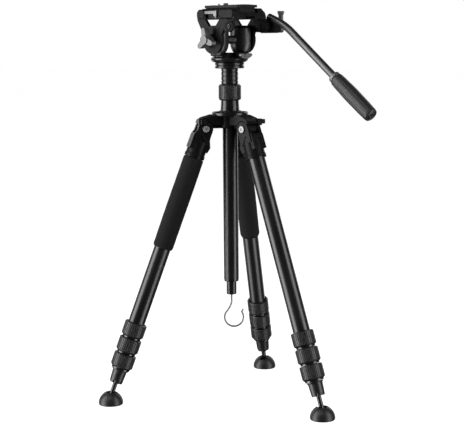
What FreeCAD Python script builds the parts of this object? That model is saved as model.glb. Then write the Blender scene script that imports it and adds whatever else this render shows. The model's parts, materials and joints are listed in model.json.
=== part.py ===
"""Three-legged camera stand with a fluid head: one STEP file for each separate piece.

Units are millimetres. +Z is up, +X points from the column towards the operator and the pan bar,
and the lens of a mounted camera looks along -X. The stand is drawn about the column's axis and is
moved along X once, on export, so that the origin lies under the middle of its bounding box.
"""
import FreeCAD, Part
import math
import os

V = FreeCAD.Vector
X_AXIS = V(1, 0, 0)
Y_AXIS = V(0, 1, 0)
Z_AXIS = V(0, 0, 1)
ZERO = V(0, 0, 0)

# ---- driving dimensions ----
ORIGIN_SHIFT_X = -83.4          # moves the column's axis, so the origin is under the box's centre

# legs
LEG_AZIMUTHS = (0, 120, 240)
LEG_NAMES = ("right", "rear", "left")
PADDED_LEGS = ("rear", "left")
SPLAY = 20.35                   # leg angle from vertical, degrees
HINGE_R = 50.2                  # hinge axis, distance from the column's axis
HINGE_Z = 515.6
TUBE_R = (15.75, 13.75, 11.75, 9.75)
TUBE_WALL = 1.3
TUBE_TOP = (26, 45, 52, 59)     # distance of each tube's top from the hinge, along the leg
LOCK_TOP = (386, 417, 448)      # the same for each twist lock
LOCK_LENGTH = 30.4
LOCK_R = 21.2
LOCK_RIBS = 32
TUBE_IN_LOCK = 20               # how far a tube reaches into its lock
CAP_TOP = 478.8
CAP_LENGTH = 27
CASTING_END = 57
PAD_R = 19.3
PAD_END = 237
SECTION_TRAVEL = 310            # how far one leg section pulls out
FOOT_R = 23
FOOT_HEIGHT = 24
BALL_HEIGHT = 15
BALL_R = 7
TREAD_RINGS = (6, 11, 16)       # inner radius of each groove under a foot
ROD_R = 4.5
GAP = 0.3                       # space between faces that slide or turn on each other
FIT = 0.05                      # radial running fit

# spider
LUG_HALF = 9
CHEEK_OUT = 17
HINGE_BOLT_R = 4
DISC_R = 34
DISC_Z = (538.5, 546)
HUB_BOTTOM = 516
NECK_TOP = 584

# column
COLUMN_R = 14.25
COLUMN_WALL = 1.5
COLUMN_BOTTOM = 227
COLUMN_LOCK_Z = (567.6, 597.4)
COLUMN_TOP_Z = (598, 627)
COLUMN_TRAVEL = 250
HOLDER_BOTTOM = 199
HOLDER_R = 9.5
HOOK_WIRE_R = 1.7
HOOK_RING_R = 18
HOOK_AZIMUTH = 46.6
HOOK_CENTRE = (4.3, 154)        # ring centre: along the hook's plane, and height

# head
BASE_Z = (627, 638)
BASE_R = 27.4
RING_Z = (638.3, 648.5)
RING_R = 35
TILT_Z = 680
POD_Y = 31.5
POD_R = 22
POD_TOP = 706
POD_FACE = 36.6                 # flat outer side of each pod, from the middle
CHEEK_Y = (37.0, 43.5)
CHEEK_R = 26
SHAFT_R = 5
DRUM_R = 13
BEARING_R = 7.8                 # sleeve round the tilt shaft between the pods
PLATFORM_X = (-44, 56)
PLATFORM_Y = 40
PLATFORM_Z = (717, 737)
CHANNEL_FLOOR = 728.5
PLATE_X = (-41.5, 50.5)
PLATE_Y = 25
PLATE_Z = (738.4, 743.2)
PLATE_TRAVEL = 70
SCREW_X = -9
SCREW_R = 4.7625                # 3/8 inch camera screw
SCREW_TOP = 747.4
PIN_X = -27.5
PIN_R = 1.75
PIN_TOP = 746.6
KNOB_Y = (-47.5, -66)
BAR_R = 7
BAR_Y = 55
BAR_START = (50, 721)           # X and height of the bar's upper end
BAR_BEND = (92.3, 705)
GRIP_START = (218.5, 609)
GRIP_LENGTH = 104
GRIP_R = 14
ROSETTE = (48, 704)
CLAMP_Y = (48.3, 66)
THUMB_X = 66
THUMB_Z = 706


# ---- helpers ----
def box(x, y, z):
    """A box from three (low, high) pairs."""
    return Part.makeBox(x[1] - x[0], y[1] - y[0], z[1] - z[0], V(x[0], y[0], z[0]))


def rod(radius, start, end):
    """A cylinder between two points."""
    along = end - start
    return Part.makeCylinder(radius, along.Length, start, along)


def pipe(outer, inner, start, end):
    along = end - start
    reach = along * (1 / along.Length)
    return rod(outer, start, end).cut(rod(inner, start - reach, end + reach))


def prism(points, axis, low, high):
    """A polygon pushed along an axis: points are (x, z) for Y, (y, z) for X and (x, y) for Z."""
    if axis == "Y":
        corners = [V(a, low, b) for a, b in points]
    elif axis == "X":
        corners = [V(low, a, b) for a, b in points]
    else:
        corners = [V(a, b, low) for a, b in points]
    face = Part.Face(Part.makePolygon(corners + corners[:1]))
    direction = {"X": X_AXIS, "Y": Y_AXIS, "Z": Z_AXIS}[axis]
    return face.extrude(direction * (high - low))


def turned(profile, place=ZERO):
    """A solid of revolution about a vertical axis from (radius, height) points."""
    corners = [V(radius, 0, height) for radius, height in profile]
    face = Part.Face(Part.makePolygon(corners + corners[:1]))
    solid = face.revolve(ZERO, Z_AXIS, 360)
    solid.translate(place)
    return solid


def toothed(radius, depth, count, low, high):
    """A ribbed bar: an outline with shallow grooves, pushed along Z."""
    points = []
    step = 360 / count
    for tooth in range(count):
        for share, drop in ((0.0, 0), (0.5, 0), (0.62, depth), (0.88, depth)):
            angle = math.radians((tooth + share) * step)
            reach = radius - drop
            points.append((reach * math.cos(angle), reach * math.sin(angle)))
    return prism(points, "Z", low, high)


def fused(first, *others):
    whole = first.multiFuse(list(others))
    return whole.removeSplitter()


def bent_wire(edges, radius):
    """Round wire along a chain of edges, with a ball at every joint so that it stays one solid."""
    runs = []
    for edge in edges:
        start = edge.valueAt(edge.FirstParameter)
        along = edge.tangentAt(edge.FirstParameter)
        circle = Part.Wire(Part.makeCircle(radius, start, along))
        runs.append(Part.Wire(edge).makePipeShell([circle], True, False))
        runs.append(Part.makeSphere(radius, edge.valueAt(edge.LastParameter)))
    return fused(*runs)


def spun(shape, angle, axis=Z_AXIS, centre=ZERO):
    copy = shape.copy()
    copy.rotate(centre, axis, angle)
    return copy


def down(distance, across=0, side=0):
    """A point in a leg's own frame: a distance below the hinge, and offsets from its axis."""
    return V(across, side, -distance)


def on_leg(shape, azimuth):
    """Carry a shape from a leg's own frame to its place on the stand."""
    placed = spun(shape, -SPLAY, Y_AXIS)
    placed.translate(V(HINGE_R, 0, HINGE_Z))
    return spun(placed, azimuth)


def leg_point(distance, azimuth):
    """Where a point on a leg's axis lies on the stand."""
    lean = math.radians(SPLAY)
    turn = math.radians(azimuth)
    radius = HINGE_R + distance * math.sin(lean)
    height = HINGE_Z - distance * math.cos(lean)
    return V(radius * math.cos(turn), radius * math.sin(turn), height)


BALL_DISTANCE = (HINGE_Z - BALL_HEIGHT) / math.cos(math.radians(SPLAY))


# ---- leg pieces, in the leg's own frame ----
def leg_casting():
    """Forked casting that hinges on the spider and holds the first tube."""
    socket_top = 20
    head_r = 14
    cheeks = fused(
        rod(head_r, V(0, -CHEEK_OUT, 0), V(0, CHEEK_OUT, 0)),
        box((-head_r, head_r), (-CHEEK_OUT, CHEEK_OUT), (-socket_top - 8, 0)),
    )
    shoulder = prism(
        [(-head_r, -6), (-15, -18), (-20.5, -31), (-18, -42), (18, -42), (17.5, -16), (head_r, -6)],
        "Y", -CHEEK_OUT + 2, CHEEK_OUT - 2,
    )
    socket = turned([
        (0, -socket_top), (17.2, -socket_top), (18.2, -26), (18.2, -50),
        (19.2, -51), (19.2, -CASTING_END), (0, -CASTING_END),
    ])
    body = fused(cheeks, shoulder, socket)
    lug_space = rod(13.2, V(0, -LUG_HALF - GAP, 0), V(0, LUG_HALF + GAP, 0))
    fork_space = box((-30, 30), (-LUG_HALF - GAP, LUG_HALF + GAP), (-13, 20))
    bore = rod(TUBE_R[0] + FIT, down(25.8), down(CASTING_END + 1))
    pivot = rod(HINGE_BOLT_R + 0.06, V(0, -30, 0), V(0, 30, 0))
    body = body.cut(lug_space.fuse(fork_space)).cut(bore).cut(pivot)
    for side in (-1, 1):
        slot = fused(
            rod(2.6, V(3, side * (CHEEK_OUT - 1.6), -17), V(3, side * 30, -17)),
            rod(2.6, V(-2, side * (CHEEK_OUT - 1.6), -23), V(-2, side * 30, -23)),
        )
        body = body.cut(slot)
    return body


def leg_tube(index):
    """One section: a thin tube whose top ring guides it inside the tube above."""
    radius = TUBE_R[index]
    last = index == len(TUBE_R) - 1
    end = CAP_TOP + 12 if last else LOCK_TOP[index] + TUBE_IN_LOCK
    tube = pipe(radius, radius - TUBE_WALL, down(TUBE_TOP[index]), down(end))
    if index:
        guide_r = TUBE_R[index - 1] - TUBE_WALL - 0.1
        guide = pipe(guide_r, radius - 0.2, down(TUBE_TOP[index]), down(TUBE_TOP[index] + 14))
        tube = fused(tube, guide)
    return tube


def twist_lock(index):
    """Ribbed collar that turns on the end of one tube and grips the next one."""
    top = LOCK_TOP[index]
    low = top + LOCK_LENGTH
    envelope = turned([
        (0, -top), (18.6, -top), (LOCK_R + 0.2, -top - 1.9), (LOCK_R + 0.2, -low + 6.4),
        (17.6, -low + 2.6), (17.6, -low), (0, -low),
    ])
    collar = toothed(LOCK_R, 0.7, LOCK_RIBS, -low, -top).common(envelope)
    wide = rod(TUBE_R[index] + FIT, down(top - 1), down(top + TUBE_IN_LOCK + GAP))
    narrow = rod(TUBE_R[index + 1] + 0.1, down(top), down(low + 1))
    return collar.cut(wide).cut(narrow)


def end_cap():
    """Tapered plug on the last tube, with a lobed rim where the foot's rod comes out."""
    low = CAP_TOP + CAP_LENGTH
    cap = turned([
        (0, -CAP_TOP), (15.6, -CAP_TOP), (15.6, -CAP_TOP - 2), (13.6, -CAP_TOP - 3.4),
        (12.5, -low + 3), (12.0, -low), (0, -low),
    ])
    lobes = 6
    for lobe in range(lobes):
        turn = math.radians(360 / lobes * lobe)
        away = V(14.4 * math.cos(turn), 14.4 * math.sin(turn), 0)
        cap = cap.cut(rod(3.6, away + down(low - 5), away + down(low + 2)))
    cap = cap.cut(rod(TUBE_R[3] + FIT, down(CAP_TOP - 1), down(CAP_TOP + 12.2)))
    return cap.cut(rod(ROD_R + FIT, down(CAP_TOP), down(low + 2)))


def foot_rod():
    """Steel rod that ends in the ball of the foot's joint."""
    shank = rod(ROD_R, down(CAP_TOP + 13), down(BALL_DISTANCE))
    ball = Part.makeSphere(BALL_R, down(BALL_DISTANCE))
    return fused(shank, ball)


def hand_pad():
    """Plain closed sleeve that stands for the foam hand grip."""
    start = CASTING_END + 0.4
    sleeve = turned([
        (TUBE_R[0] + 0.1, -start), (PAD_R - 1, -start), (PAD_R, -start - 2),
        (PAD_R, -PAD_END + 4), (PAD_R - 1.6, -PAD_END), (TUBE_R[0] + 0.1, -PAD_END),
    ])
    return sleeve


def foot():
    """Half-ball rubber foot with a ball socket and a slot for the rod, drawn on the leg's plane."""
    dome = turned([
        (0, 0), (21.6, 0), (22.6, 1.2), (FOOT_R, 4), (22.4, 8.5), (20.4, 13.5),
        (17, 18.2), (12.6, 22), (8.6, FOOT_HEIGHT), (0, FOOT_HEIGHT),
    ])
    centre = V(0, 0, BALL_HEIGHT)
    socket = Part.makeSphere(BALL_R + GAP, centre)
    cone = Part.makeCone(4.2, 13.5, 14, centre, Z_AXIS)
    reach = 26
    inward = [(0, -2.2)]
    for angle in (25, 0, -20, -45, -74):
        turn = math.radians(angle)
        inward.append((reach * math.sin(turn), reach * math.cos(turn)))
    slot_points = [(a, b + BALL_HEIGHT) for a, b in inward]
    slot = prism(slot_points, "Y", -ROD_R - 0.9, ROD_R + 0.9)
    pad = dome.cut(socket).cut(cone).cut(slot)
    for radius in TREAD_RINGS:
        pad = pad.cut(pipe(radius + 1, radius, V(0, 0, -1), V(0, 0, 0.8)))
    return pad


# ---- spider and column ----
def spider_hub():
    """Central casting: neck, disc, core and three hooded arms with hinge lugs."""
    neck = turned([
        (0, 520), (17.8, 520), (17.8, 547), (16.6, COLUMN_LOCK_Z[0] - 0.4),
        (15.9, COLUMN_LOCK_Z[0] - 0.4), (15.9, NECK_TOP), (0, NECK_TOP),
    ])
    disc = turned([
        (0, DISC_Z[0]), (DISC_R - 1.5, DISC_Z[0]), (DISC_R, DISC_Z[0] + 1.5), (DISC_R, DISC_Z[1] - 1.6),
        (DISC_R - 1.6, DISC_Z[1]), (24, DISC_Z[1]), (19.5, DISC_Z[1] + 2.4), (0, DISC_Z[1] + 2.4),
    ])
    core = turned([
        (0, HUB_BOTTOM), (22, HUB_BOTTOM), (23.5, HUB_BOTTOM + 1.5), (23.5, DISC_Z[0] + 1),
        (0, DISC_Z[0] + 1),
    ])
    hood = prism(
        [(8, 521.5), (8, 541), (36, 541), (54, 536), (61, 531.5), (63, 526.5), (61.5, 524.5)],
        "Y", -CHEEK_OUT, CHEEK_OUT,
    )
    cheek_gap = CHEEK_OUT + GAP
    hood_space = rod(15.3, V(HINGE_R, -30, HINGE_Z), V(HINGE_R, cheek_gap, HINGE_Z))
    web = prism([(8, HUB_BOTTOM), (8, 536), (50, 534), (58, 524), (46, 507), (40, HUB_BOTTOM)],
                "Y", -LUG_HALF, LUG_HALF)
    lug = rod(12.5, V(HINGE_R, -LUG_HALF, HINGE_Z), V(HINGE_R, LUG_HALF, HINGE_Z))
    side_boss = box((50, 64), (CHEEK_OUT - 6, CHEEK_OUT + 4), (522.5, 534.5))
    side_boss = side_boss.cut(hood_space)
    arm = fused(hood.cut(hood_space), web, lug, side_boss)
    arm = arm.cut(rod(HINGE_BOLT_R + 0.02, V(HINGE_R, -30, HINGE_Z), V(HINGE_R, 30, HINGE_Z)))
    arm = arm.cut(box((54, 61), (cheek_gap, CHEEK_OUT + 20), (525.6, 532.4)))
    arms = [spun(arm, azimuth) for azimuth in LEG_AZIMUTHS]
    whole = fused(neck, disc, core, *arms)
    return whole.cut(rod(COLUMN_R + FIT, V(0, 0, HUB_BOTTOM - 20), V(0, 0, NECK_TOP + 5)))


def angle_button():
    """Sprung tab in the side of an arm that frees its leg's angle stop."""
    shank = box((54.3, 60.7), (CHEEK_OUT + 2.6, CHEEK_OUT + 9), (525.9, 532.1))
    pad = box((53, 62), (CHEEK_OUT + 6.4, CHEEK_OUT + 15), (524.8, 533.2))
    pad = pad.makeFillet(1.2, pad.Edges)
    return fused(shank, pad)


def hinge_bolts():
    """Three cross bolts, one for each leg, as separate solids."""
    end = CHEEK_OUT + GAP
    solids = []
    for azimuth in LEG_AZIMUTHS:
        shank = rod(HINGE_BOLT_R, V(HINGE_R, -end, HINGE_Z), V(HINGE_R, end, HINGE_Z))
        heads = []
        for side in (-1, 1):
            head = rod(6.2, V(HINGE_R, side * end, HINGE_Z), V(HINGE_R, side * (end + 2.4), HINGE_Z))
            hexagon = []
            for corner in range(6):
                turn = math.radians(60 * corner)
                hexagon.append((HINGE_R + 2.6 * math.cos(turn), HINGE_Z + 2.6 * math.sin(turn)))
            low, high = sorted((side * (end + 1), side * (end + 3)))
            heads.append(head.cut(prism(hexagon, "Y", low, high)))
        solids.append(spun(fused(shank, *heads), azimuth))
    return Part.makeCompound(solids)


def column_lock():
    """Ribbed collar that clamps the centre column."""
    low, high = COLUMN_LOCK_Z
    envelope = turned([
        (0, low), (18.4, low), (21.2, low + 3), (21.2, high - 3), (18.4, high), (0, high),
    ])
    ring = toothed(21, 0.7, 36, low, high).common(envelope)
    ring = ring.cut(rod(15.95, V(0, 0, 500), V(0, 0, NECK_TOP + 0.4)))
    return ring.cut(rod(COLUMN_R + 0.1, V(0, 0, 500), V(0, 0, 620)))


def column_tube():
    return pipe(COLUMN_R, COLUMN_R - COLUMN_WALL, V(0, 0, COLUMN_BOTTOM), V(0, 0, COLUMN_TOP_Z[0]))


def column_top():
    """Grooved head of the column, with the spigot in the tube and the screw for the head."""
    low, high = COLUMN_TOP_Z
    outline = [(0, low - 14), (COLUMN_R - COLUMN_WALL - FIT, low - 14), (COLUMN_R - COLUMN_WALL - FIT, low),
               (15, low), (15.8, low + 0.8)]
    grooves = 3
    pitch = 8
    for groove in range(grooves):
        height = low + 5.5 + pitch * groove
        outline += [(15.8, height), (14.9, height + 0.7), (14.9, height + 1.7), (15.8, height + 2.4)]
    outline += [(15.8, high - 0.8), (15, high), (SCREW_R, high), (SCREW_R, high + 10),
                (SCREW_R - 1, high + 11), (0, high + 11)]
    return turned(outline)


def hook_holder():
    """Plug in the column's foot that holds the weight hook."""
    inner = COLUMN_R - COLUMN_WALL - FIT
    plug = turned([
        (0, HOLDER_BOTTOM), (HOLDER_R - 1, HOLDER_BOTTOM), (HOLDER_R, HOLDER_BOTTOM + 1),
        (HOLDER_R, COLUMN_BOTTOM - 4), (13.6, COLUMN_BOTTOM - 2.5), (13.6, COLUMN_BOTTOM),
        (inner, COLUMN_BOTTOM), (inner, COLUMN_BOTTOM + 14), (0, COLUMN_BOTTOM + 14),
    ])
    return plug.cut(rod(HOOK_WIRE_R + FIT, V(0, 0, HOLDER_BOTTOM - 1), V(0, 0, HOLDER_BOTTOM + 13)))


def weight_hook():
    """Bent steel wire: a straight shank, a side bend and an open ring."""
    across, height = HOOK_CENTRE
    ring_start = 145
    ring_end = 395

    def at(angle):
        turn = math.radians(angle)
        return V(across + HOOK_RING_R * math.cos(turn), 0, height + HOOK_RING_R * math.sin(turn))

    top = V(0, 0, HOLDER_BOTTOM + 12)
    bend = V(0, 0, 183)
    start = at(ring_start)
    end = at(ring_end)
    tip = end + V(2.2, 0, 4)
    ring = Part.Arc(start, at((ring_start + ring_end) / 2), end).toShape()
    wire = bent_wire([
        Part.makeLine(top, bend),
        Part.Arc(bend, V(-4.2, 0, 173), start).toShape(),
        ring,
        Part.makeLine(end, tip),
    ], HOOK_WIRE_R)
    return spun(wire, HOOK_AZIMUTH)


# ---- fluid head ----
def head_base():
    """Fixed base that screws onto the column and carries the pan bearing."""
    low, high = BASE_Z
    return turned([
        (SCREW_R + FIT, low), (BASE_R - 0.8, low), (BASE_R, low + 0.8), (BASE_R, low + 4.2),
        (BASE_R - 1.8, low + 4.8), (BASE_R - 1.8, low + 6), (BASE_R, low + 6.6), (BASE_R, high - 1),
        (BASE_R - 1, high), (18, high), (18, high + 7), (SCREW_R + FIT, high + 7),
    ])


def pod(side):
    """Barrel that holds one end of the tilt bearing, cut flat on its outer side."""
    barrel = turned([
        (0, 650), (12, 650), (14.5, 654.5), (17.8, 659), (20.2, 664.5), (21.6, 671), (POD_R, 678),
        (POD_R, 696), (21, 701.5), (18.5, 704.8), (15.5, POD_TOP), (0, POD_TOP),
    ], V(0, side * POD_Y, 0))
    low, high = sorted((0, side * POD_FACE))
    return barrel.common(box((-40, 40), (low, high), (640, 720)))


def fork_body():
    """Pan casting: bevelled turning ring, bridge, and two pods with cavities for the drag drums."""
    low, high = RING_Z
    ring = turned([
        (0, low), (28.3, low), (32.4, low + 1.4), (RING_R, low + 4.6), (RING_R - 0.4, low + 7.4),
        (31.4, high), (0, high),
    ])
    bridge = prism([(-30, high - 2), (-30, 651), (-22, 656), (22, 656), (30, 651), (30, high - 2)],
                   "X", -19, 19)
    bridge = bridge.common(rod(30.5, V(0, 0, 640), V(0, 0, 660)))
    lock_boss = box((20, 37.5), (-7, 7), (642, 655.5))
    bearing = rod(BEARING_R, V(0, -12, TILT_Z), V(0, 12, TILT_Z))
    body = fused(ring, bridge, lock_boss, bearing, pod(-1), pod(1))
    recess = rod(18.06, V(0, 0, low - 1), V(0, 0, low + 7.2))
    body = body.cut(recess)
    body = body.cut(rod(SHAFT_R + 0.06, V(0, -50, TILT_Z), V(0, 50, TILT_Z)))
    for side in (-1, 1):
        cavity = rod(DRUM_R + 0.2, V(0, side * 18.8, TILT_Z), V(0, side * 33.2, TILT_Z))
        body = body.cut(cavity)
    return body.cut(rod(3.06, V(25, 0, 649.5), V(45, 0, 649.5)))


def pan_lock_screw():
    """Wing screw that clamps the pan ring."""
    shank = rod(3, V(25.6, 0, 649.5), V(42, 0, 649.5))
    hub = rod(5.2, V(38.2, 0, 649.5), V(48, 0, 649.5))
    wing = prism([
        (-14, 650.6), (-14.4, 653.4), (-11, 654.8), (-5, 653.2), (5, 653.2), (11, 654.8),
        (14.4, 653.4), (14, 650.6), (8, 646.6), (-8, 646.6),
    ], "X", 41, 46.5)
    return fused(shank, hub, wing)


def strut(front, side):
    """One slanting bar of a cheek's V, from the platform down to the tilt axis."""
    lean = -1 if front else 1
    points = [(lean * 41, 718), (lean * 20, 718), (lean * 2, 697), (lean * 8, 684), (lean * 24, 688)]
    low, high = sorted((side * CHEEK_Y[0], side * CHEEK_Y[1]))
    return prism(points, "Y", low, high)


def tilt_platform():
    """Camera platform with its channel, and the two V-shaped cheeks that hang on the tilt shaft."""
    low, high = PLATFORM_Z
    top_y = 33
    section = [
        (-PLATFORM_Y, low), (-PLATFORM_Y - 1, low + 2), (-PLATFORM_Y - 1, low + 11.5), (-top_y, high),
        (top_y, high), (PLATFORM_Y + 1, low + 11.5), (PLATFORM_Y + 1, low + 2), (PLATFORM_Y, low),
    ]
    slab = prism(section, "X", PLATFORM_X[0], PLATFORM_X[1])
    ends = prism([
        (PLATFORM_X[0] + 2.5, low), (PLATFORM_X[0], low + 4), (PLATFORM_X[0], low + 11), (PLATFORM_X[0] + 7, high),
        (PLATFORM_X[1] - 5, high), (PLATFORM_X[1], low + 4), (PLATFORM_X[1], low),
    ], "Y", -60, 60)
    body = slab.common(ends)
    channel = prism([(-23, CHANNEL_FLOOR), (-23, CHANNEL_FLOOR + 2), (-20.5, high + 1),
                     (20.5, high + 1), (23, CHANNEL_FLOOR + 2), (23, CHANNEL_FLOOR)],
                    "X", PLATE_X[0] - GAP, PLATFORM_X[1] + 5)
    body = body.cut(channel)
    lever_notch = box((-21, 13), (-60, -36.2), (719, 733.4))
    body = body.cut(lever_notch)
    body = body.cut(box((-60, 60), (-12, 12), (low - 1, low + 5)))
    pieces = []
    for side in (-1, 1):
        boss_low, boss_high = sorted((side * CHEEK_Y[0], side * CHEEK_Y[1]))
        pieces.append(rod(CHEEK_R, V(0, boss_low, TILT_Z), V(0, boss_high, TILT_Z)))
        pieces.append(strut(True, side))
        pieces.append(strut(False, side))
        outer = side * CHEEK_Y[1]
        pieces.append(rod(11, V(0, outer, TILT_Z), V(0, outer + side * 2.6, TILT_Z)))
    arm_x, arm_z = ROSETTE
    rosette_arm = prism([(arm_x - 13, 718), (arm_x + 8, 718), (arm_x + 8, 700), (arm_x - 13, 693), (24, 700)],
                        "Y", CHEEK_Y[0], CHEEK_Y[1])
    rosette = rod(12.5, V(arm_x, CHEEK_Y[0] + 1, arm_z), V(arm_x, CLAMP_Y[0] - GAP, arm_z))
    body = fused(body, rosette_arm, rosette, *pieces)
    bore = rod(SHAFT_R + FIT, V(0, -60, TILT_Z), V(0, 60, TILT_Z))
    pivot = rod(3.06, V(arm_x, 30, arm_z), V(arm_x, 60, arm_z))
    return body.cut(bore).cut(pivot)


def tilt_shaft():
    """Tilt axle with the two drag drums that turn in the pods' fluid."""
    shaft = rod(SHAFT_R, V(0, -46, TILT_Z), V(0, 47.5, TILT_Z))
    drums = [rod(DRUM_R, V(0, side * 19, TILT_Z), V(0, side * 33, TILT_Z)) for side in (-1, 1)]
    nut = rod(8, V(0, 46.4, TILT_Z), V(0, 50, TILT_Z))
    return fused(shaft, nut, *drums)


def tilt_knob():
    """Three-lobed wing knob that clamps the tilt."""
    near, far = KNOB_Y
    hub = rod(8.5, V(0, near, TILT_Z), V(0, far, TILT_Z))
    lobes = []
    for turn in (20, 140, 260):
        lobe = fused(
            rod(4.6, V(17.5, far + 2, TILT_Z), V(17.5, far + 12.5, TILT_Z)),
            prism([(0, TILT_Z - 6.4), (0, TILT_Z + 6.4), (17.5, TILT_Z + 4.6), (17.5, TILT_Z - 4.6)],
                  "Y", far + 2, far + 12.5),
        )
        lobes.append(spun(lobe, turn, Y_AXIS, V(0, 0, TILT_Z)))
    knob = fused(hub, *lobes)
    return knob


def release_plate():
    """Quick-release plate: pad slab above, dovetail below, and holes for the screw and pin."""
    low, high = PLATE_Z
    slab = box(PLATE_X, (-PLATE_Y, PLATE_Y), PLATE_Z)
    slab = slab.makeFillet(3, [e for e in slab.Edges if abs(e.tangentAt(0).z) > 0.9])
    dovetail = prism([(-22.6, CHANNEL_FLOOR + GAP), (-22.6, CHANNEL_FLOOR + 1.8), (-20.1, 737),
                      (-20.1, low), (20.1, low), (20.1, 737), (22.6, CHANNEL_FLOOR + 1.8),
                      (22.6, CHANNEL_FLOOR + GAP)], "X", PLATE_X[0], PLATE_X[1] - 3)
    plate = fused(slab, dovetail)
    pocket = rod(11.2, V(SCREW_X, 0, 720), V(SCREW_X, 0, CHANNEL_FLOOR + 4.6))
    slot = rod(SCREW_R + 0.06, V(SCREW_X, 0, 720), V(SCREW_X, 0, 760))
    pin_hole = rod(PIN_R + FIT, V(PIN_X, 0, 732), V(PIN_X, 0, 760))
    plate = plate.cut(pocket).cut(slot).cut(pin_hole)
    return plate


def camera_screw():
    """Camera screw with its slotted head in the plate's pocket."""
    head_low = CHANNEL_FLOOR + 0.8
    head = rod(10.6, V(SCREW_X, 0, head_low), V(SCREW_X, 0, head_low + 3.4))
    head = head.cut(box((SCREW_X - 12, SCREW_X + 12), (-1, 1), (head_low - 1, head_low + 1.4)))
    neck_r = SCREW_R - 0.8
    thread_low = PLATE_Z[1] + 0.05
    shank = turned([(0, head_low + 2), (neck_r, head_low + 2), (neck_r, thread_low), (SCREW_R, thread_low),
                    (SCREW_R, SCREW_TOP - 0.8), (SCREW_R - 0.8, SCREW_TOP), (0, SCREW_TOP)],
                   V(SCREW_X, 0, 0))
    return fused(head, shank)


def video_pin():
    """Small pin that stops a camera turning on the plate."""
    return turned([(0, 732.2), (PIN_R, 732.2), (PIN_R, PIN_TOP - 0.7), (PIN_R - 0.7, PIN_TOP), (0, PIN_TOP)],
                  V(PIN_X, 0, 0))


def plate_lever():
    """Clip lever in the platform's notch that clamps the plate."""
    bar = prism([(-19.5, 727.4), (-19.5, 732.4), (11.5, 732.4), (11.5, 722.5), (5.5, 722.5), (2.5, 727.4)],
                "Y", -43.6, -38.2)
    pivot = rod(3, V(8.5, -40.2, 719.2), V(8.5, -40.2, 733.2))
    return fused(bar, pivot)


def bar_direction():
    """Unit vector of the bar's straight lower run."""
    return V(GRIP_START[0] - BAR_BEND[0], 0, GRIP_START[1] - BAR_BEND[1]).normalize()


def bar_path():
    """Upper run, bend and lower run of the pan bar, as tangent edges."""
    start = V(BAR_START[0], BAR_Y, BAR_START[1])
    bend = V(BAR_BEND[0], BAR_Y, BAR_BEND[1])
    first = (bend - start).normalize()
    second = bar_direction()
    reach = 20
    leave = bend - first * reach
    join = bend + second * reach
    half_turn = first.getAngle(second) / 2
    inward = (second - first).normalize()
    middle = bend + inward * (reach * math.tan(half_turn / 2))
    end = V(GRIP_START[0], BAR_Y, GRIP_START[1]) + second * (GRIP_LENGTH - 8)
    return Part.Wire([
        Part.makeLine(start, leave),
        Part.Arc(leave, middle, join).toShape(),
        Part.makeLine(join, end),
    ])


def pan_bar():
    """Bent bar that the operator steers with."""
    path = bar_path()
    start = V(BAR_START[0], BAR_Y, BAR_START[1])
    along = (V(BAR_BEND[0], BAR_Y, BAR_BEND[1]) - start).normalize()
    circle = Part.Wire(Part.makeCircle(BAR_R, start, along))
    return path.makePipeShell([circle], True, False, 2)


def bar_part(profile):
    """A turned piece on the bar's lower run from (distance from the grip's start, radius) points."""
    outline = [(radius, distance) for distance, radius in profile]
    piece = turned(outline)
    lean = math.degrees(math.atan2(bar_direction().x, bar_direction().z))
    piece.rotate(ZERO, Y_AXIS, lean)
    piece.translate(V(GRIP_START[0], BAR_Y, GRIP_START[1]))
    return piece


def bar_collar():
    inner = BAR_R + FIT
    return bar_part([(-7.6, inner), (-7.6, 10.2), (-6.6, 11.2), (-1.4, 11.2), (-0.4, 10.6), (-0.4, inner)])


def bar_grip():
    """Barrel-shaped rubber hand grip, closed at its far end."""
    inner = BAR_R + FIT
    blind = GRIP_LENGTH - 7.6
    return bar_part([
        (0, inner), (0, 11.6), (2, 12.6), (14, 13.2), (45, GRIP_R), (78, 13.6), (96, 13.0),
        (GRIP_LENGTH - 2, 12.4), (GRIP_LENGTH, 10.6), (GRIP_LENGTH, 0), (blind, 0), (blind, inner),
    ])


def bar_clamp():
    """Clamp block that turns on the rosette and grips the bar."""
    arm_x, arm_z = ROSETTE
    rosette = rod(12.5, V(arm_x, CLAMP_Y[0], arm_z), V(arm_x, CLAMP_Y[0] + 6, arm_z))
    block = prism([
        (30, 694), (30, 706), (34, 712), (44, 722), (58, 720.5), (72, 716), (74, 711), (70, 694), (64, 691.5),
        (36, 691.5),
    ], "Y", CLAMP_Y[0] + 1.4, CLAMP_Y[1] - 2)
    start = V(BAR_START[0], BAR_Y, BAR_START[1])
    along = (V(BAR_BEND[0], BAR_Y, BAR_BEND[1]) - start).normalize()
    upper_cut = prism([(20, 712), (20, 740), (50, 740), (47, 712)], "Y", 30, 80)
    bore = rod(BAR_R + FIT, start - along * 40, start + along * 60)
    stud = rod(3, V(arm_x, 38, arm_z), V(arm_x, CLAMP_Y[0] + 2, arm_z))
    screw_hole = rod(3.06, V(THUMB_X, 58, THUMB_Z - 8), V(THUMB_X, 80, THUMB_Z - 8))
    return fused(rosette, block).cut(upper_cut).cut(bore).fuse(stud).cut(screw_hole)


def thumb_lever():
    """T-shaped lever on the screw that tightens the clamp on the bar."""
    axis_z = THUMB_Z - 8
    screw = rod(3, V(THUMB_X, 58.6, axis_z), V(THUMB_X, 68, axis_z))
    hub = rod(6, V(THUMB_X, CLAMP_Y[1] - 1.6, axis_z), V(THUMB_X, CLAMP_Y[1] + 6, axis_z))
    paddle = prism([
        (THUMB_X - 4.5, axis_z), (THUMB_X - 4, 724), (THUMB_X - 6.6, 728.5), (THUMB_X - 6.6, 732),
        (THUMB_X + 6.6, 732), (THUMB_X + 6.6, 728.5), (THUMB_X + 4, 724), (THUMB_X + 4.5, axis_z),
    ], "Y", CLAMP_Y[1] + 1.5, CLAMP_Y[1] + 6)
    return fused(screw, hub, paddle)


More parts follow.
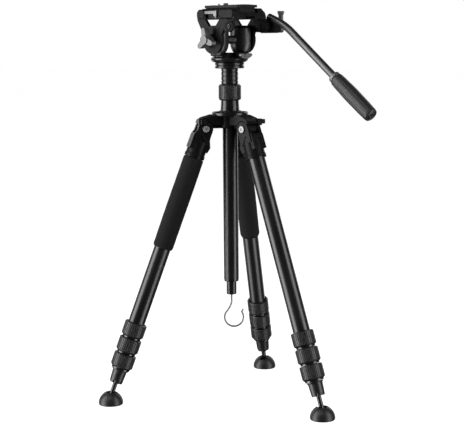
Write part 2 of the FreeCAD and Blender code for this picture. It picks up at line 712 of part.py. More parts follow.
# ---- assembly ----
def leg_pieces(name, azimuth):
    """Every piece of one leg, in its place on the stand."""
    pieces = {
        "leg_casting": leg_casting(),
        "end_cap": end_cap(),
        "foot_rod": foot_rod(),
    }
    for index in range(len(TUBE_R)):
        pieces["tube_%d" % (index + 1)] = leg_tube(index)
    for index in range(len(LOCK_TOP)):
        pieces["twist_lock_%d" % (index + 1)] = twist_lock(index)
    if name in PADDED_LEGS:
        pieces["hand_pad"] = hand_pad()
    placed = {}
    for piece, shape in pieces.items():
        placed["%s_%s" % (name, piece)] = on_leg(shape, azimuth)
    ball = leg_point(BALL_DISTANCE, 0)
    shoe = foot()
    shoe.translate(V(ball.x, 0, 0))
    placed["%s_foot" % name] = spun(shoe, azimuth)
    placed["%s_angle_button" % name] = spun(angle_button(), azimuth)
    return placed


def all_pieces():
    pieces = {
        "spider_hub": spider_hub(),
        "hinge_bolts": hinge_bolts(),
        "column_lock": column_lock(),
        "column_tube": column_tube(),
        "column_top": column_top(),
        "hook_holder": hook_holder(),
        "weight_hook": weight_hook(),
        "head_base": head_base(),
        "fork_body": fork_body(),
        "pan_lock_screw": pan_lock_screw(),
        "tilt_platform": tilt_platform(),
        "tilt_shaft": tilt_shaft(),
        "tilt_knob": tilt_knob(),
        "release_plate": release_plate(),
        "camera_screw": camera_screw(),
        "video_pin": video_pin(),
        "plate_lever": plate_lever(),
        "bar_clamp": bar_clamp(),
        "thumb_lever": thumb_lever(),
        "pan_bar": pan_bar(),
        "bar_collar": bar_collar(),
        "bar_grip": bar_grip(),
    }
    for name, azimuth in zip(LEG_NAMES, LEG_AZIMUTHS):
        pieces.update(leg_pieces(name, azimuth))
    return pieces


def main():
    os.makedirs("parts", exist_ok=True)
    for node, shape in all_pieces().items():
        shape.translate(V(ORIGIN_SHIFT_X, 0, 0))
        shape.exportStep(os.path.join("parts", node + ".step"))


if __name__ == "__main__":
    main()
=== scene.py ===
import bpy
import bmesh
import json
import math
import numpy as np
from mathutils import Matrix, Vector


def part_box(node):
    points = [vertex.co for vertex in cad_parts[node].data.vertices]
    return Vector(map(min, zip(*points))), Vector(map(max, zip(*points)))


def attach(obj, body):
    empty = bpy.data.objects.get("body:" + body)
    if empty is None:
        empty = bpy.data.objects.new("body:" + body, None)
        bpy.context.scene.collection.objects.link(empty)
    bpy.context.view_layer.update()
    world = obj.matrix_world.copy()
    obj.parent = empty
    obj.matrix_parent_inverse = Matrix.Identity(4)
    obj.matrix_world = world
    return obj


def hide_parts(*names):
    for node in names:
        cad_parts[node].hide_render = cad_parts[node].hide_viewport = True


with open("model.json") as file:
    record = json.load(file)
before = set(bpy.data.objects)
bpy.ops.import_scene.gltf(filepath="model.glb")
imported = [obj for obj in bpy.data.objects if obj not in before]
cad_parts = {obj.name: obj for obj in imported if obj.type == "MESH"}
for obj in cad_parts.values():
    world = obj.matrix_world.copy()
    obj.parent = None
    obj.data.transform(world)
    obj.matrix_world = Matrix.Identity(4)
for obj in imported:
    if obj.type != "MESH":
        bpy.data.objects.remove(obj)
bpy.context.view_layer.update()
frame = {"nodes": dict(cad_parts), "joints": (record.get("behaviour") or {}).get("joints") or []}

MM = 0.001
NODES = frame["nodes"]
JOINTS = {joint["name"]: joint for joint in frame["joints"]}
LEGS = ("right", "rear", "left")
PADDED_LEGS = ("rear", "left")

# Where one finish ends and the next begins on a part, as distances from its own axis and heights.
LOCK_RING_REACH = 18.2 * MM
HUB_NECK_REACH = 18.5 * MM
HUB_DISC_REACH = 34.2 * MM
HUB_DISC_FLOOR = 538.6 * MM
PAN_RING_REACH = 35.5 * MM
PAN_RING_TOP = 649 * MM
POD_FLOOR = 657 * MM

# The column's axis is the pan joint's axis, and every place below is measured from it.
AXIS = Vector(JOINTS["pan"]["pos_m"])
AXIS.z = 0


# ---- camera: the photograph's viewing angle ----
CAMERA_AZIMUTH = math.radians(-43.37)   # where the camera stands, seen from the column
CAMERA_DISTANCE = 2.557
CAMERA_HEIGHT = 0.682
CAMERA_PITCH = math.radians(7.49)
CAMERA_TURN = math.radians(-0.045)
CAMERA_ROLL = math.radians(-0.5)
LENS = 105.6


def make_camera():
    data = bpy.data.cameras.new("camera")
    data.lens = LENS
    data.sensor_width = 36
    data.clip_end = 50
    camera = bpy.data.objects.new("camera", data)
    bpy.context.scene.collection.objects.link(camera)
    place = AXIS + Vector((
        CAMERA_DISTANCE * math.cos(CAMERA_AZIMUTH),
        CAMERA_DISTANCE * math.sin(CAMERA_AZIMUTH),
        CAMERA_HEIGHT,
    ))
    heading = CAMERA_AZIMUTH + math.pi / 2 + CAMERA_TURN
    turn = Matrix.Rotation(heading, 4, "Z")
    tip = Matrix.Rotation(math.pi / 2 - CAMERA_PITCH, 4, "X")
    roll = Matrix.Rotation(CAMERA_ROLL, 4, "Z")
    camera.matrix_world = Matrix.Translation(place) @ turn @ tip @ roll
    bpy.context.scene.camera = camera


# ---- floor and light ----
def soft_box(name, azimuth, distance, size, height, aim_z, brightness):
    """A soft box at an angle round the column from the camera, aimed at a height on its axis."""
    data = bpy.data.lights.new(name, "AREA")
    data.shape = "RECTANGLE"
    data.size, data.size_y = size
    data.energy = brightness * math.pi * size[0] * size[1]
    light = bpy.data.objects.new(name, data)
    bpy.context.scene.collection.objects.link(light)
    turn = CAMERA_AZIMUTH + math.radians(azimuth)
    light.location = AXIS + Vector((distance * math.cos(turn), distance * math.sin(turn), height))
    aim = AXIS + Vector((0, 0, aim_z)) - light.location
    light.rotation_euler = aim.to_track_quat("-Z", "Y").to_euler()


def make_floor():
    mesh = bpy.data.meshes.new("floor")
    floor = bpy.data.objects.new("floor", mesh)
    bpy.context.scene.collection.objects.link(floor)
    shape = bmesh.new()
    bmesh.ops.create_circle(shape, cap_ends=True, segments=96, radius=30)
    shape.to_mesh(mesh)
    shape.free()
    floor.location = AXIS
    floor.visible_glossy = False
    floor.visible_diffuse = False
    floor.visible_shadow = False
    material = bpy.data.materials.new("floor_pale")
    material.use_nodes = True
    shader = material.node_tree.nodes["Principled BSDF"]
    shader.inputs["Base Color"].default_value = (0.35, 0.35, 0.35, 1)
    shader.inputs["Roughness"].default_value = 0.9
    shader.inputs["Specular IOR Level"].default_value = 0.0
    shader.inputs["Emission Color"].default_value = (1, 1, 1, 1)
    shader.inputs["Emission Strength"].default_value = 0.98
    mesh.materials.append(material)


def make_world():
    """White behind the object, and only a dim grey in its reflections."""
    world = bpy.data.worlds.new("studio")
    world.use_nodes = True
    tree = world.node_tree
    dim = tree.nodes["Background"]
    dim.inputs["Color"].default_value = (1, 1, 1, 1)
    dim.inputs["Strength"].default_value = 0.04
    white = tree.nodes.new("ShaderNodeBackground")
    white.inputs["Color"].default_value = (1, 1, 1, 1)
    white.inputs["Strength"].default_value = 1.0
    seen = tree.nodes.new("ShaderNodeLightPath").outputs["Is Camera Ray"]
    mix = tree.nodes.new("ShaderNodeMixShader")
    tree.links.new(seen, mix.inputs["Fac"])
    tree.links.new(dim.outputs["Background"], mix.inputs[1])
    tree.links.new(white.outputs["Background"], mix.inputs[2])
    tree.links.new(mix.outputs["Shader"], tree.nodes["World Output"].inputs["Surface"])
    bpy.context.scene.world = world
    bpy.context.scene.view_settings.view_transform = "Standard"


def make_light():
    soft_box("left_box", -76, 2.2, (1.6, 5.0), 0.4, 0.4, 5.6)
    soft_box("right_box", 62, 2.4, (1.3, 5.0), 0.4, 0.4, 4.2)
    soft_box("top_box", -25, 1.4, (1.2, 1.2), 2.2, 0.4, 2.2)
    soft_box("back_left_box", -150, 2.6, (1.0, 3.0), 0.8, 0.4, 1.4)
    soft_box("back_right_box", 150, 2.6, (1.0, 3.0), 0.8, 0.4, 1.8)


# ---- materials ----
class Nodes:
    """Builds one procedural material from small named steps."""

    def __init__(self, name, base, roughness, metallic=0.0, specular=0.5, coat=0.0):
        self.material = bpy.data.materials.new(name)
        self.material.use_nodes = True
        self.tree = self.material.node_tree
        self.shader = self.tree.nodes["Principled BSDF"]
        self.shader.inputs["Base Color"].default_value = (*base, 1)
        self.shader.inputs["Roughness"].default_value = roughness
        self.shader.inputs["Metallic"].default_value = metallic
        self.shader.inputs["Specular IOR Level"].default_value = specular
        self.shader.inputs["Coat Weight"].default_value = coat
        self.place = self.tree.nodes.new("ShaderNodeTexCoord").outputs["Object"]

    def new(self, kind, **inputs):
        node = self.tree.nodes.new(kind)
        for key, value in inputs.items():
            socket = node.inputs[key.replace("_", " ")]
            if hasattr(value, "is_output"):
                self.tree.links.new(value, socket)
            else:
                socket.default_value = value
        return node

    def mapped(self, turn=(0, 0, 0), stretch=(1, 1, 1)):
        """Object coordinates turned by Euler angles and then scaled along the new axes."""
        node = self.tree.nodes.new("ShaderNodeMapping")
        node.vector_type = "TEXTURE"
        self.tree.links.new(self.place, node.inputs["Vector"])
        node.inputs["Rotation"].default_value = turn
        node.inputs["Scale"].default_value = stretch
        return node.outputs["Vector"]

    def noise(self, scale, detail=3.0, place=None, rough=0.5):
        node = self.new("ShaderNodeTexNoise", Scale=scale, Detail=detail, Roughness=rough)
        self.tree.links.new(place or self.place, node.inputs["Vector"])
        return node.outputs["Fac"]

    def ramp(self, value, low, high, out_low, out_high):
        node = self.tree.nodes.new("ShaderNodeMapRange")
        node.inputs["From Min"].default_value = low
        node.inputs["From Max"].default_value = high
        node.inputs["To Min"].default_value = out_low
        node.inputs["To Max"].default_value = out_high
        self.tree.links.new(value, node.inputs["Value"])
        return node.outputs["Result"]

    def mix(self, factor, first, second):
        node = self.tree.nodes.new("ShaderNodeMix")
        node.data_type = "RGBA"
        self.tree.links.new(factor, node.inputs["Factor"])
        for index, colour in ((6, first), (7, second)):
            if hasattr(colour, "is_output"):
                self.tree.links.new(colour, node.inputs[index])
            else:
                node.inputs[index].default_value = (*colour, 1)
        return node.outputs[2]

    def colour(self, output):
        self.tree.links.new(output, self.shader.inputs["Base Color"])

    def rough(self, output):
        self.tree.links.new(output, self.shader.inputs["Roughness"])

    def bump(self, height, distance, strength=1.0, under=None):
        node = self.tree.nodes.new("ShaderNodeBump")
        node.inputs["Strength"].default_value = strength
        node.inputs["Distance"].default_value = distance
        self.tree.links.new(height, node.inputs["Height"])
        if under is not None:
            self.tree.links.new(under, node.inputs["Normal"])
        self.tree.links.new(node.outputs["Normal"], self.shader.inputs["Normal"])
        return node.outputs["Normal"]

    def worn_edge(self, start, end):
        """How far a point is on an outer edge, from 0 to 1."""
        point = self.tree.nodes.new("ShaderNodeNewGeometry").outputs["Pointiness"]
        return self.ramp(point, start, end, 0.0, 1.0)


def grey(level):
    return (level, level, level * 1.02)


def cast_black():
    """Fine-textured black paint on die castings, a little worn on its edges."""
    m = Nodes("cast_black", grey(0.005), 0.48, specular=0.11)
    patches = m.noise(45, 4)
    base = m.mix(m.ramp(patches, 0.35, 0.7, 0, 1), grey(0.0035), grey(0.007))
    worn = m.worn_edge(0.56, 0.68)
    m.colour(m.mix(worn, base, grey(0.035)))
    m.rough(m.ramp(m.noise(160, 5), 0.3, 0.7, 0.3, 0.44))
    m.bump(m.noise(1500, 2), 0.00008, 0.45)
    return m.material


def turned_black():
    """Machined and anodised rings: smoother than the castings, with faint turning lines."""
    m = Nodes("turned_black", grey(0.005), 0.27, specular=0.55)
    lines = m.noise(60, 4, m.mapped((0, 0, 0), (30, 30, 0.04)))
    patches = m.noise(30, 4)
    m.colour(m.mix(m.ramp(patches, 0.35, 0.7, 0, 1), grey(0.0035), grey(0.007)))
    m.rough(m.ramp(lines, 0.3, 0.7, 0.22, 0.32))
    m.bump(lines, 0.00002, 0.3)
    return m.material


def lock_black():
    """Moulded rubber-coated collars."""
    m = Nodes("lock_black", grey(0.006), 0.38, specular=0.55)
    m.colour(m.mix(m.ramp(m.noise(90, 4), 0.35, 0.7, 0, 1), grey(0.0045), grey(0.009)))
    m.rough(m.ramp(m.noise(220, 4), 0.3, 0.7, 0.3, 0.43))
    m.bump(m.noise(1800, 2), 0.00006, 0.5)
    return m.material


def gloss_black(name, roughness):
    """Polished black finish with faint uneven gloss."""
    m = Nodes(name, grey(0.006), roughness, specular=0.7)
    m.colour(m.mix(m.ramp(m.noise(70, 3), 0.35, 0.7, 0, 1), grey(0.005), grey(0.009)))
    m.rough(m.ramp(m.noise(400, 4), 0.3, 0.7, roughness - 0.05, roughness + 0.07))
    m.bump(m.noise(900, 2), 0.00002, 0.3)
    return m.material


def tube_black(name, matrix, roughness=0.3, specular=0.62):
    """Satin anodised tube with faint lines drawn along its length."""
    m = Nodes(name, grey(0.005), roughness, specular=specular)
    turn = matrix.to_euler()
    lines = m.noise(900, 3, m.mapped(turn, (1, 1, 120)))
    patches = m.noise(14, 4)
    m.colour(m.mix(m.ramp(patches, 0.35, 0.7, 0, 1), grey(0.0035), grey(0.006)))
    both = m.new("ShaderNodeMath")
    m.tree.links.new(m.ramp(lines, 0.3, 0.7, roughness - 0.04, roughness + 0.04), both.inputs[0])
    m.tree.links.new(m.ramp(patches, 0.3, 0.7, -0.02, 0.04), both.inputs[1])
    m.rough(both.outputs[0])
    m.bump(lines, 0.00002, 0.3)
    return m.material


def plain_metal(name, base, roughness, fine, metallic=1.0, specular=0.5):
    """Turned or polished metal with fine marks and uneven gloss."""
    m = Nodes(name, base, roughness, metallic=metallic, specular=specular)
    marks = m.noise(fine, 4)
    patches = m.noise(70, 3)
    darker = tuple(channel * 0.8 for channel in base)
    worn = m.worn_edge(0.55, 0.7)
    brighter = tuple(min(1.0, channel * 1.5) for channel in base)
    m.colour(m.mix(worn, m.mix(m.ramp(patches, 0.35, 0.7, 0, 1), darker, base), brighter))
    m.rough(m.ramp(marks, 0.3, 0.7, roughness - 0.06, roughness + 0.08))
    m.bump(marks, 0.00003, 0.3)
    return m.material


def rubber(name, level, roughness, grain, depth):
    m = Nodes(name, grey(level), roughness, specular=0.45)
    m.colour(m.mix(m.ramp(m.noise(60, 4), 0.3, 0.7, 0, 1), grey(level * 0.8), grey(level * 1.3)))
    m.rough(m.ramp(m.noise(300, 3), 0.3, 0.7, roughness - 0.06, roughness + 0.08))
    m.bump(m.noise(grain, 3), depth, 0.5)
    return m.material


def foam():
    """Closed-cell foam: tiny pits over soft lumps, with painted shade darkening the pits."""
    m = Nodes("foam", grey(0.008), 0.9, specular=0.15)
    cells = m.new("ShaderNodeTexVoronoi", Scale=1400.0)
    m.tree.links.new(m.place, cells.inputs["Vector"])
    pit_depth_and_shade = m.ramp(cells.outputs["Distance"], 0.1, 0.55, 0, 1)
    # Painted shade: the colour is darker down in each pit, where shade falls; the same mask also
    # sets the pit depth.
    m.colour(m.mix(pit_depth_and_shade, grey(0.004), grey(0.011)))
    soft = m.bump(m.noise(120, 3), 0.0002, 0.4)
    m.bump(pit_depth_and_shade, 0.00012, 0.6, soft)
    m.rough(m.ramp(m.noise(500, 3), 0.3, 0.7, 0.75, 0.92))
    return m.material


# ---- finish on the CAD pieces ----
def dress(node, material, edge=0.35, angle=28):
    """Give a CAD node its material, merged seams, small rounded edges and smooth shading."""
    obj = NODES[node]
    obj.data.materials.clear()
    obj.data.materials.append(material)
    for polygon in obj.data.polygons:
        polygon.use_smooth = True
    weld = obj.modifiers.new("weld", "WELD")
    weld.merge_threshold = 0.00001
    bevel = obj.modifiers.new("edges", "BEVEL")
    bevel.width = edge * MM
    bevel.segments = 2
    bevel.limit_method = "ANGLE"
    bevel.angle_limit = math.radians(angle)
    bevel.use_clamp_overlap = True
    normals = obj.modifiers.new("normals", "WEIGHTED_NORMAL")
    normals.keep_sharp = False
    normals.weight = 90


def repaint(node, material, wanted, frame_matrix):
    """Give a second material to the faces of a CAD node whose middle passes a test."""
    obj = NODES[node]
    obj.data.materials.append(material)
    slot = len(obj.data.materials) - 1
    inverse = frame_matrix.inverted()
    for polygon in obj.data.polygons:
        if wanted(inverse @ polygon.center):
            polygon.material_index = slot


# ---- places ----
def frame_between(start, end, side):
    """A frame with its origin at start, Z towards end, and Y as near as it can be to side."""
    along = (end - start).normalized()
    across = along.cross(Vector(side)).normalized() * -1
    left = along.cross(across).normalized()
    turn = Matrix((across, left, along)).transposed().to_4x4()
    return Matrix.Translation(start) @ turn


def joint_place(name):
    return Vector(JOINTS[name]["pos_m"])


def extent(node, matrix):
    """A node's lowest and highest place along a frame's Z, and how far it reaches from that line."""
    inverse = matrix.inverted()
    points = [inverse @ vertex.co for vertex in NODES[node].data.vertices]
    heights = [point.z for point in points]
    return min(heights), max(heights), max(math.hypot(point.x, point.y) for point in points)


LEG_FRAMES = {}
for index, leg in enumerate(LEGS):
    azimuth = math.radians(120 * index)
    tangent = (-math.sin(azimuth), math.cos(azimuth), 0)
    LEG_FRAMES[leg] = frame_between(
        joint_place(leg + "_leg_spread"), joint_place(leg + "_foot_swivel"), tangent
    )
COLUMN_FRAME = Matrix.Translation(AXIS)


def long_axis(node):
    """Frame of a straight turned node: its origin at the middle, Z along its axis and towards +X."""
    points = np.array([vertex.co for vertex in NODES[node].data.vertices])
    middle = points.mean(axis=0)
    strongest = np.linalg.svd(points - middle, full_matrices=False)[2][0]
    along = Vector(strongest) * (1 if strongest[0] > 0 else -1)
    return frame_between(Vector(middle), Vector(middle) + along, (0, 1, 0))


BAR_FRAME = long_axis("bar_grip")


# ---- pieces made in mesh code ----
def add_piece(name, body, material, verts, faces, matrix):
    mesh = bpy.data.meshes.new(name)
    mesh.from_pydata([tuple(matrix @ Vector(v)) for v in verts], [], faces)
    mesh.validate()
    shape = bmesh.new()
    shape.from_mesh(mesh)
    bmesh.ops.recalc_face_normals(shape, faces=shape.faces)
    shape.to_mesh(mesh)
    shape.free()
    mesh.materials.append(material)
    for polygon in mesh.polygons:
        polygon.use_smooth = True
    piece = bpy.data.objects.new(name, mesh)
    bpy.context.scene.collection.objects.link(piece)
    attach(piece, body)
    return piece


def turned_piece(name, body, material, profile, matrix, sides=96, carve=None):
    """A closed turned form from a loop of (radius, height) points in metres.

    A radius of 0 makes a pole. carve(angle, radius, height) may return a new radius.
    """
    verts = []
    rings = []
    for radius, height in profile:
        if radius == 0:
            rings.append([len(verts)])
            verts.append((0, 0, height))
            continue
        ring = []
        for side in range(sides):
            angle = 2 * math.pi * side / sides
            reach = carve(angle, radius, height) if carve else radius
            ring.append(len(verts))
            verts.append((reach * math.cos(angle), reach * math.sin(angle), height))
        rings.append(ring)
    faces = []
    closed = profile[0][0] != 0
    for place in range(len(rings) - (0 if closed else 1)):
        low, high = rings[place], rings[(place + 1) % len(rings)]
        for side in range(sides):
            after = (side + 1) % sides
            if len(low) == 1:
                faces.append((low[0], high[after], high[side]))
            elif len(high) == 1:
                faces.append((low[side], low[after], high[0]))
            else:
                faces.append((low[side], low[after], high[after], high[side]))
    return add_piece(name, body, material, verts, faces, matrix)


def rounded(points, radius, steps=4):
    """An open chain of (radius, height) points with its inner corners rounded."""
    chain = [Vector(point).to_2d() for point in points]
    result = [tuple(chain[0])]
    for before, corner, after in zip(chain, chain[1:], chain[2:]):
        back = before - corner
        ahead = after - corner
        cut = min(radius, back.length * 0.45, ahead.length * 0.45)
        start = corner + back.normalized() * cut
        end = corner + ahead.normalized() * cut
        for step in range(steps + 1):
            share = step / steps
            result.append(tuple(start.lerp(corner, share).lerp(corner.lerp(end, share), share)))
    result.append(tuple(chain[-1]))
    return result


def foam_pad(leg):
    """Foam sleeve: crowned a little, with soft ends, and a soft unevenness pressed into it."""
    node = leg + "_hand_pad"
    matrix = LEG_FRAMES[leg]
    low, high, reach = extent(node, matrix)
    inner = 16.0 * MM
    outer = [(inner, low)]
    outer += [(reach - 1.6 * MM, low), (reach, low + 3.5 * MM)]
    rows = 26
    for row in range(1, rows):
        share = row / rows
        height = low + 3.5 * MM + (high - low - 8 * MM) * share
        crown = 0.35 * MM * math.sin(math.pi * share)
        outer.append((reach - 0.2 * MM + crown, height))
    outer += [(reach, high - 4.5 * MM), (reach - 2 * MM, high), (inner, high)]
    profile = rounded(outer, 2.2 * MM)

    def press(angle, radius, height):
        if radius < inner + 1 * MM:
            return radius
        wave = math.sin(3 * angle + 90 * height) * math.sin(2 * angle - 140 * height + 1)
        return radius + 0.12 * MM * wave

    piece = turned_piece(leg + "_foam_grip", leg + "_leg", FOAM, profile, matrix, 72, press)
    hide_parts(node)


def bar_grip():
    """Rubber grip: a barrel with shallow lengthwise flutes and a ringed end cap."""
    low, high, reach = extent("bar_grip", BAR_FRAME)
    flutes = 12

    def radius_at(share):
        stations = (
            (0, 0.83), (0.03, 0.9), (0.14, 0.945), (0.43, 1.0),
            (0.75, 0.972), (0.93, 0.93), (0.98, 0.885),
        )
        for (before, first), (after, second) in zip(stations, stations[1:]):
            if share <= after:
                step = (share - before) / (after - before)
                smooth = step * step * (3 - 2 * step)
                return reach * (first + (second - first) * smooth)
        return reach * stations[-1][1]

    length = high - low
    profile = [(7.1 * MM, low), (radius_at(0) - 0.6 * MM, low)]
    rows = 60
    for row in range(rows + 1):
        share = 0.006 + 0.974 * row / rows
        profile.append((radius_at(share), low + length * share))
    rim = radius_at(0.98)
    profile += [
        (rim - 0.7 * MM, low + length * 0.99), (rim - 2.2 * MM, high), (rim - 3.4 * MM, high),
        (rim - 3.9 * MM, high - 0.9 * MM), (rim - 4.8 * MM, high - 0.9 * MM),
        (rim - 5.2 * MM, high - 0.2 * MM), (3.1 * MM, high - 0.2 * MM),
        (2.6 * MM, high - 0.6 * MM), (2.4 * MM, high - 3 * MM), (0, high - 3 * MM),
    ]
    profile = [(0, low)] + profile

    def flute(angle, radius, height):
        share = (height - low) / length
        if not 0.1 < share < 0.94 or radius < rim - 0.1 * MM:
            return radius
        ease = min(1.0, (share - 0.1) / 0.06, (0.94 - share) / 0.06)
        depth = 0.3 * MM * ease
        return radius - depth * (0.5 - 0.5 * math.cos(flutes * angle)) ** 3

    body = JOINTS["bar_angle"]["child"]
    piece = turned_piece("rubber_grip", body, GRIP, profile, BAR_FRAME, 216, flute)
    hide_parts("bar_grip")


def thread_screw():
    """Camera screw: a plain round head in the plate and a real thread above it."""
    low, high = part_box("camera_screw")
    middle = (low + high) / 2
    plate_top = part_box("release_plate")[1].z
    matrix = Matrix.Translation((middle.x, middle.y, 0))
    head_r = (high.x - low.x) / 2
    crest = 4.7625 * MM
    pitch = 1.5875 * MM
    depth = 0.62 * MM
    profile = [(0, low.z), (head_r - 0.4 * MM, low.z), (head_r, low.z + 0.4 * MM)]
    profile += [(head_r, low.z + 3.0 * MM), (head_r - 0.4 * MM, low.z + 3.4 * MM)]
    profile.append((crest - depth, low.z + 3.4 * MM))
    start = plate_top + 0.1 * MM
    rows = 44
    profile.append((crest - depth, start))
    for row in range(rows + 1):
        height = start + (high.z - start - 0.3 * MM) * row / rows
        profile.append((crest, height))
    profile += [(crest - 0.9 * MM, high.z), (0, high.z)]

    def thread(angle, radius, height):
        if abs(radius - crest) > 0.01 * MM:
            return radius
        turn = ((height - start) / pitch - angle / (2 * math.pi)) % 1.0
        tooth = abs(2 * turn - 1)
        tip = min(1.0, (high.z - height) / (0.9 * MM))
        return crest - depth * (1 - tooth) - 0.5 * MM * (1 - tip)

    body = JOINTS["camera_screw_turn"]["child"]
    piece = turned_piece("threaded_screw", body, STEEL, profile, matrix, 72, thread)
    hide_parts("camera_screw")


def slab_piece(name, body, material, heights, x, y, base):
    """A closed slab on a rectangle: its top follows a grid of heights, given as rows along X."""
    rows, columns = len(heights), len(heights[0])
    verts = []
    for layer in (0, 1):
        for row in range(rows):
            for column in range(columns):
                place_x = x[0] + (x[1] - x[0]) * row / (rows - 1)
                place_y = y[0] + (y[1] - y[0]) * column / (columns - 1)
                verts.append((place_x, place_y, heights[row][column] if layer else base))
    layer_size = rows * columns

    def at(layer, row, column):
        return layer * layer_size + row * columns + column

    faces = []
    for row in range(rows - 1):
        for column in range(columns - 1):
            for layer in (0, 1):
                faces.append((at(layer, row, column), at(layer, row + 1, column),
                              at(layer, row + 1, column + 1), at(layer, row, column + 1)))
    for row in range(rows - 1):
        for column in (0, columns - 1):
            faces.append((at(0, row, column), at(0, row + 1, column),
                          at(1, row + 1, column), at(1, row, column)))
    for column in range(columns - 1):
        for row in (0, rows - 1):
            faces.append((at(0, row, column), at(0, row, column + 1),
                          at(1, row, column + 1), at(1, row, column)))
    return add_piece(name, body, material, verts, faces, Matrix.Identity(4))


def plate_pads():
    """Two ribbed rubber strips on the release plate, either side of the camera screw."""
    low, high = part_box("release_plate")
    screw_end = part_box("camera_screw")[1].x
    middle_y = (low.y + high.y) / 2
    body = JOINTS["plate_slide"]["child"]
    pitch = 2.4 * MM
    for name, start, end in (
        ("plate_pad_front", low.x + 3 * MM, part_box("video_pin")[0].x - 3 * MM),
        ("plate_pad_rear", screw_end + 2 * MM, high.x - 3 * MM),
    ):
        rows = max(8, int((end - start) / pitch * 8))
        heights = []
        for row in range(rows + 1):
            place = (end - start) * row / rows
            wave = 0.5 - 0.5 * math.cos(2 * math.pi * place / pitch)
            edge = 0 if row in (0, rows) else 1
            heights.append([high.z + 0.05 * MM + edge * (0.45 + 0.35 * wave) * MM] * 2)
        for line in heights:
            line[:] = [high.z + 0.05 * MM] + line + [high.z + 0.05 * MM]
        slab_piece(name, body, PAD_RUBBER, heights, (start, end),
                   (middle_y - 21 * MM, middle_y + 21 * MM), high.z - 0.3 * MM)


def cap_screw(name, body, place, direction, radius):
    """Small socket screw: a domed head with a hexagonal recess."""
    matrix = frame_between(place, place + Vector(direction), (0.3, 0.4, 0.87))
    profile = [(0, -1.2 * MM), (radius * 0.8, -1.2 * MM), (radius, -0.6 * MM), (radius, 0.5 * MM),
               (radius * 0.82, 0.9 * MM), (radius * 0.5, 0.95 * MM), (radius * 0.46, -0.4 * MM),
               (0, -0.4 * MM)]

    def hexagon(angle, reach, height):
        if reach > radius * 0.48:
            return reach
        turn = (angle + math.pi / 6) % (math.pi / 3) - math.pi / 6
        return reach * 0.92 / math.cos(turn)

    turned_piece(name, body, SCREW, profile, matrix, 48, hexagon)


def finish_edges(piece, width, angle=30):
    """Small rounded edges and even shading on a piece made of flat faces."""
    bevel = piece.modifiers.new("edges", "BEVEL")
    bevel.width = width * MM
    bevel.segments = 3
    bevel.limit_method = "ANGLE"
    bevel.angle_limit = math.radians(angle)
    normals = piece.modifiers.new("normals", "WEIGHTED_NORMAL")
    normals.keep_sharp = False


def raised_panel(name, body, material, outline, inner, back, front, chamfer):
    """A closed panel on the head's near side, from (x, z) corners in metres from the tilt axis.

    It runs outwards (towards -Y) from back to front, and its front face is the inner outline.
    """
    origin = Vector(JOINTS["tilt"]["pos_m"])
    count = len(outline)
    verts = []
    for corners, reach in ((outline, back), (outline, front - chamfer), (inner, front)):
        for x, z in corners:
            verts.append((origin.x + x, -reach, origin.z + z))
    faces = [tuple(range(count)), tuple(range(2 * count, 3 * count))]
    for layer in (0, 1):
        for corner in range(count):
            after = (corner + 1) % count
            faces.append((layer * count + corner, layer * count + after,
                          (layer + 1) * count + after, (layer + 1) * count + corner))
    piece = add_piece(name, body, material, verts, faces, Matrix.Identity(4))
    finish_edges(piece, 0.6)
    return piece


def octagon(x, z, cut):
    """Corners of a rectangle with its corners cut off."""
    return [
        (x[0] + cut, z[0]), (x[1] - cut, z[0]), (x[1], z[0] + cut), (x[1], z[1] - cut),
        (x[1] - cut, z[1]), (x[0] + cut, z[1]), (x[0], z[1] - cut), (x[0], z[0] + cut),
    ]


def platform_shoulders():
    """Raised blocks cast on the platform's near face, either side of the plate lever's notch."""
    low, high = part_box("tilt_platform")
    tilt = Vector(JOINTS["tilt"]["pos_m"])
    lever_low, lever_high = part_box("plate_lever")
    top = high.z - tilt.z - 1.4 * MM
    bottom = top - 17.4 * MM
    body = JOINTS["tilt"]["child"]
    for name, start, end in (
        ("platform_shoulder_front", low.x - tilt.x + 0.4 * MM, lever_low.x - tilt.x - 2.6 * MM),
        ("platform_shoulder_rear", lever_high.x - tilt.x + 3.2 * MM, high.x - tilt.x - 5.5 * MM),
    ):
        outline = octagon((start, end), (bottom, top), 5 * MM)
        inset = 1.8 * MM
        inner = octagon((start + inset, end - inset), (bottom + inset, top - inset), 4.4 * MM)
        raised_panel(name, body, CAST, outline, inner, 33 * MM, 43 * MM, 1.6 * MM)


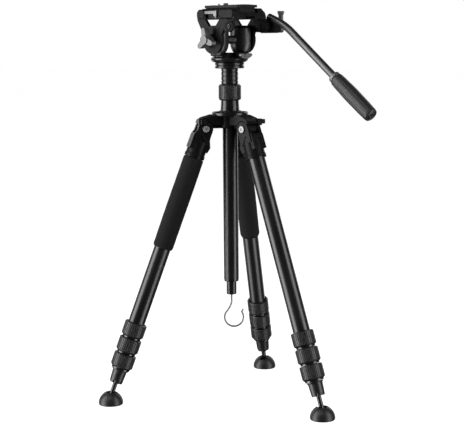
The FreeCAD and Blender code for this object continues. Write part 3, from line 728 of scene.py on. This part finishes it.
def near_rosette():
    """The second toothed rosette, on the near cheek, where the bar can be fitted instead."""
    tilt = Vector(JOINTS["tilt"]["pos_m"])
    hub = Vector(JOINTS["bar_angle"]["pos_m"])
    x, z = hub.x - tilt.x, hub.z - tilt.z
    body = JOINTS["tilt"]["child"]
    outline = [(x - 24 * MM, z - 2 * MM), (x - 13 * MM, z - 10 * MM), (x + 7 * MM, z - 5 * MM),
               (x + 8 * MM, z + 13 * MM), (x - 13 * MM, z + 13 * MM)]
    middle_x, middle_z = x - 5 * MM, z + 3 * MM
    shrink = 0.93
    inner = [
        (middle_x + (a - middle_x) * shrink, middle_z + (b - middle_z) * shrink) for a, b in outline
    ]
    raised_panel("rosette_arm", body, CAST, outline, inner, 37.2 * MM, 43.2 * MM, 1 * MM)

    start = Vector((hub.x, -42.5 * MM, hub.z))
    matrix = frame_between(start, Vector((hub.x, -60 * MM, hub.z)), (0, 0, 1))
    face = 4.6 * MM
    radius = 10.5 * MM
    teeth = 36
    tooth_depth = 0.7 * MM
    profile = [
        (0, 0), (radius, 0), (radius, face - 1.2 * MM), (radius - 0.5 * MM, face - 0.7 * MM),
        (radius - 1 * MM, face), (6 * MM, face), (5.4 * MM, face - 0.9 * MM), (0, face - 0.9 * MM),
    ]
    disc = turned_piece("rosette_disc", body, CAST, profile, matrix, 144)
    inverse = matrix.inverted()
    for vertex in disc.data.vertices:
        point = inverse @ vertex.co
        if point.z > face - 0.1 * MM and math.hypot(point.x, point.y) > 5.8 * MM:
            turn = math.atan2(point.y, point.x) / (2 * math.pi) * teeth
            point.z -= tooth_depth * abs(2 * (turn % 1) - 1)
            vertex.co = matrix @ point
    cap_screw("rosette_screw", body, Vector((hub.x, -46.4 * MM, hub.z)), (0, -1, 0), 3.6 * MM)


make_camera()
make_floor()
make_world()
make_light()

CAST = cast_black()
LOCK = lock_black()
RING = gloss_black("ring_gloss", 0.16)
STEEL = plain_metal("steel", (0.16, 0.16, 0.162), 0.4, 900, metallic=0.6)
CHROME = plain_metal("bolt_chrome", (0.34, 0.34, 0.345), 0.42, 700, metallic=0.6)
SILVER = plain_metal("silver", (0.15, 0.15, 0.152), 0.42, 1200, metallic=0.7)
WIRE = plain_metal("hook_wire", (0.26, 0.26, 0.263), 0.38, 900, metallic=0.6)
DARK_ROD = gloss_black("rod_dark", 0.2)
GLOSS = gloss_black("pod_gloss", 0.36)
PLATE = plain_metal("plate_black", grey(0.006), 0.38, 1400, metallic=0.0, specular=0.16)
FOOT = rubber("foot_rubber", 0.008, 0.42, 900, 0.00005)
GRIP = rubber("grip_rubber", 0.014, 0.45, 1300, 0.000012)
PAD_RUBBER = rubber("pad_rubber", 0.01, 0.6, 900, 0.00005)
SCREW = plain_metal("screw_dark", (0.06, 0.06, 0.062), 0.35, 900, metallic=0.7)
FOAM = foam()
COLUMN = tube_black("tube_column", COLUMN_FRAME)
BAR = tube_black("tube_bar", BAR_FRAME, 0.36, 1.0)
TURNED = turned_black()


def on_hub_disc(point):
    """Whether a point of the spider is on its turned neck or disc."""
    reach = math.hypot(point.x, point.y)
    return reach < HUB_NECK_REACH or point.z > HUB_DISC_FLOOR and reach < HUB_DISC_REACH


def on_pan_ring(point):
    """Whether a point of the fork is on the turned ring under the pods."""
    return point.z < PAN_RING_TOP and math.hypot(point.x, point.y) < PAN_RING_REACH


def on_pods(point):
    """Whether a point of the fork is on the two drag pods."""
    return point.z > POD_FLOOR


def on_lock_ring(point):
    """Whether a point of a twist lock is on its smooth gripping rings, inside the ribs."""
    return math.hypot(point.x, point.y) < LOCK_RING_REACH


for name in ("spider_hub", "fork_body", "tilt_platform", "bar_clamp"):
    dress(name, CAST, 0.6)
for name in ("column_top", "head_base", "hook_holder"):
    dress(name, TURNED)
repaint("spider_hub", TURNED, on_hub_disc, COLUMN_FRAME)
repaint("fork_body", TURNED, on_pan_ring, COLUMN_FRAME)
repaint("fork_body", GLOSS, on_pods, COLUMN_FRAME)
dress("column_lock", LOCK, 0.2)
dress("column_tube", COLUMN, 0.7)
dress("pan_bar", BAR)
for name in ("tilt_shaft", "video_pin"):
    dress(name, STEEL, 0.15)
dress("weight_hook", WIRE, 0.15)
dress("hinge_bolts", CHROME, 0.2)
for name in ("pan_lock_screw", "tilt_knob", "plate_lever", "thumb_lever", "bar_collar"):
    dress(name, SILVER, 0.8)
dress("release_plate", PLATE)
for leg in LEGS:
    matrix = LEG_FRAMES[leg]
    tube = tube_black("tube_" + leg, matrix)
    dress(leg + "_leg_casting", CAST, 0.6)
    for section in (1, 2, 3, 4):
        dress("%s_tube_%d" % (leg, section), tube)
    for lock in (1, 2, 3):
        node = "%s_twist_lock_%d" % (leg, lock)
        dress(node, LOCK, 0.2)
        repaint(node, RING, on_lock_ring, matrix)
    dress(leg + "_end_cap", LOCK, 0.3)
    dress(leg + "_angle_button", CAST, 0.3)
    dress(leg + "_foot_rod", DARK_ROD)
    dress(leg + "_foot", FOOT, 0.5)
for leg in PADDED_LEGS:
    foam_pad(leg)
bar_grip()
thread_screw()
plate_pads()
platform_shoulders()
near_rosette()
